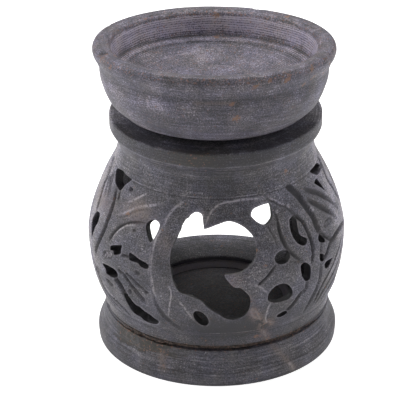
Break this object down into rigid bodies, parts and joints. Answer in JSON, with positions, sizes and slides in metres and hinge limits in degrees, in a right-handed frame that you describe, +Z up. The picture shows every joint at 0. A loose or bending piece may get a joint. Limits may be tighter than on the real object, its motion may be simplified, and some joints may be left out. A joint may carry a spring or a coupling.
{
  "type": "essential oil burner",
  "caption": "Turned stone oil burner: a loose shallow dish rests in the mouth of a pierced and carved pot on a cemented foot, with an arched doorway at the back for a tea light.",
  "frame": {"origin": "centre of the foot's flat underside", "axes": "+Z up, -Y towards the large pierced opening at the front, +Y towards the tea light doorway at the back, +X to the right seen from the front"},
  "size_m": [0.08, 0.0782, 0.1025],
  "materials": {
    "soapstone": "fine turned, matt, unpolished",
    "cement": "rough"
  },
  "bodies": {
    "stand": {"base": "soapstone", "joint_cement": "cement", "burner_body": "soapstone"},
    "dish": {"oil_dish": "soapstone"}
  },
  "joints": [
    {"name": "dish_lift", "type": "slide", "parent": "stand", "child": "dish", "axis": [0, 0, 1], "range_m": [0, 0.04]}
  ]
}
